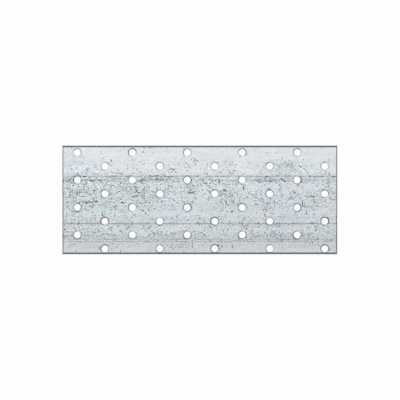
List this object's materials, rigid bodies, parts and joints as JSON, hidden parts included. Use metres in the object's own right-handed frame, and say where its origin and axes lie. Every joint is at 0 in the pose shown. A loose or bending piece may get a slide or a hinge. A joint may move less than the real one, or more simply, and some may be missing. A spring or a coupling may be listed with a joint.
{
  "type": "mending plate",
  "caption": "Flat rectangular steel plate with a staggered field of round nail holes, which joins timbers that lie flush.",
  "frame": {"origin": "centre of the flat back face, which lies on the timber", "axes": "+X along the plate's length, +Y across its width, +Z out of the face that the punches entered"},
  "size_m": [0.2, 0.0792, 0.002],
  "materials": {
    "galvanised_sheet": "hot-dip galvanised, mottled, with drawn lines along the sheet"
  },
  "bodies": {
    "root": {"mending_plate": "galvanised_sheet"}
  },
  "joints": []
}
